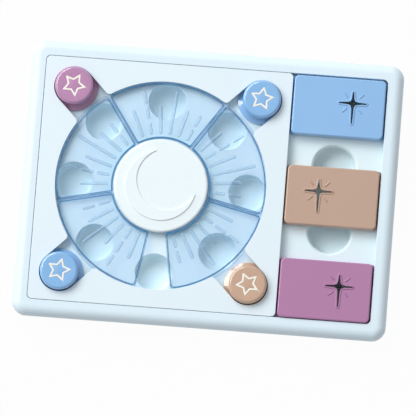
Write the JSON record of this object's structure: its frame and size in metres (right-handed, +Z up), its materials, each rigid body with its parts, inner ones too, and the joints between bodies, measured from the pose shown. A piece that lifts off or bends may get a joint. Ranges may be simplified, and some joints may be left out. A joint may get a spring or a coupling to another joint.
{
  "type": "dog puzzle feeder",
  "caption": "Flat treat tray for dogs with a ring of turning covers, star sliders that lock it, and lids that slide in a side channel over treat wells.",
  "frame": {"origin": "middle of the tray's footprint, on the surface that the rubber pads stand on", "axes": "+X to the right along the long side, towards the lid channel; +Y to the back; +Z up"},
  "size_m": [0.32, 0.24, 0.0303],
  "materials": {
    "tray": "satin",
    "panel": "smooth",
    "cap": "smooth",
    "cover": "smooth, see-through tint",
    "star_blue": "satin",
    "star_tan": "satin",
    "star_purple": "satin",
    "star_white": "smooth",
    "pad": "matt",
    "screw": "plain"
  },
  "bodies": {
    "tray": {"tray_rim": "tray", "ring_floor": "tray", "ring_wells": "tray", "channel_floor": "tray", "lid_wells": "tray", "top_panel": "panel", "panel_screws": "screw", "moon_cap": "cap", "cap_screws": "screw", "rubber_pads": "pad"},
    "cover_middle": {"ray_cover_middle": "cover"},
    "cover_right": {"ray_cover_right": "cover"},
    "cover_right_end": {"ray_cover_right_end": "cover"},
    "cover_left": {"ray_cover_left": "cover"},
    "cover_left_end": {"ray_cover_left_end": "cover"},
    "slider_back_left": {"star_slider_back_left": "star_purple", "star_inlay_back_left": "star_white"},
    "slider_back_right": {"star_slider_back_right": "star_blue", "star_inlay_back_right": "star_white"},
    "slider_front_left": {"star_slider_front_left": "star_blue", "star_inlay_front_left": "star_white"},
    "slider_front_right": {"star_slider_front_right": "star_tan", "star_inlay_front_right": "star_white"},
    "lid_back": {"lid_back": "star_blue"},
    "lid_middle": {"lid_middle": "star_tan"},
    "lid_front": {"lid_front": "star_purple"}
  },
  "joints": [
    {"name": "cover_ring_turn", "type": "hinge", "parent": "tray", "child": "cover_middle", "pos_m": [-0.0411, 0, 0.02], "axis": [0, 0, 1], "continuous": true},
    {"name": "cover_right_shift", "type": "hinge", "parent": "cover_middle", "child": "cover_right", "pos_m": [-0.0411, 0, 0.02], "axis": [0, 0, 1], "range_deg": [-9, 0]},
    {"name": "cover_right_end_shift", "type": "hinge", "parent": "cover_right", "child": "cover_right_end", "pos_m": [-0.0411, 0, 0.02], "axis": [0, 0, 1], "range_deg": [-9, 0]},
    {"name": "cover_left_shift", "type": "hinge", "parent": "cover_middle", "child": "cover_left", "pos_m": [-0.0411, 0, 0.02], "axis": [0, 0, 1], "range_deg": [0, 9]},
    {"name": "cover_left_end_shift", "type": "hinge", "parent": "cover_left", "child": "cover_left_end", "pos_m": [-0.0411, 0, 0.02], "axis": [0, 0, 1], "range_deg": [0, 9]},
    {"name": "slider_back_left_travel", "type": "slide", "parent": "tray", "child": "slider_back_left", "axis": [0.7071, -0.7071, 0], "range_m": [0, 0.006]},
    {"name": "slider_back_right_travel", "type": "slide", "parent": "tray", "child": "slider_back_right", "axis": [-0.7071, -0.7071, 0], "range_m": [0, 0.006]},
    {"name": "slider_front_left_travel", "type": "slide", "parent": "tray", "child": "slider_front_left", "axis": [0.7071, 0.7071, 0], "range_m": [0, 0.006]},
    {"name": "slider_front_right_travel", "type": "slide", "parent": "tray", "child": "slider_front_right", "axis": [-0.7071, 0.7071, 0], "range_m": [0, 0.006]},
    {"name": "lid_back_travel", "type": "slide", "parent": "tray", "child": "lid_back", "axis": [0, 1, 0], "range_m": [-0.0269, 0.001]},
    {"name": "lid_middle_travel", "type": "slide", "parent": "tray", "child": "lid_middle", "axis": [0, 1, 0], "range_m": [-0.0295, 0.0269]},
    {"name": "lid_front_travel", "type": "slide", "parent": "tray", "child": "lid_front", "axis": [0, 1, 0], "range_m": [0, 0.0295]}
  ]
}
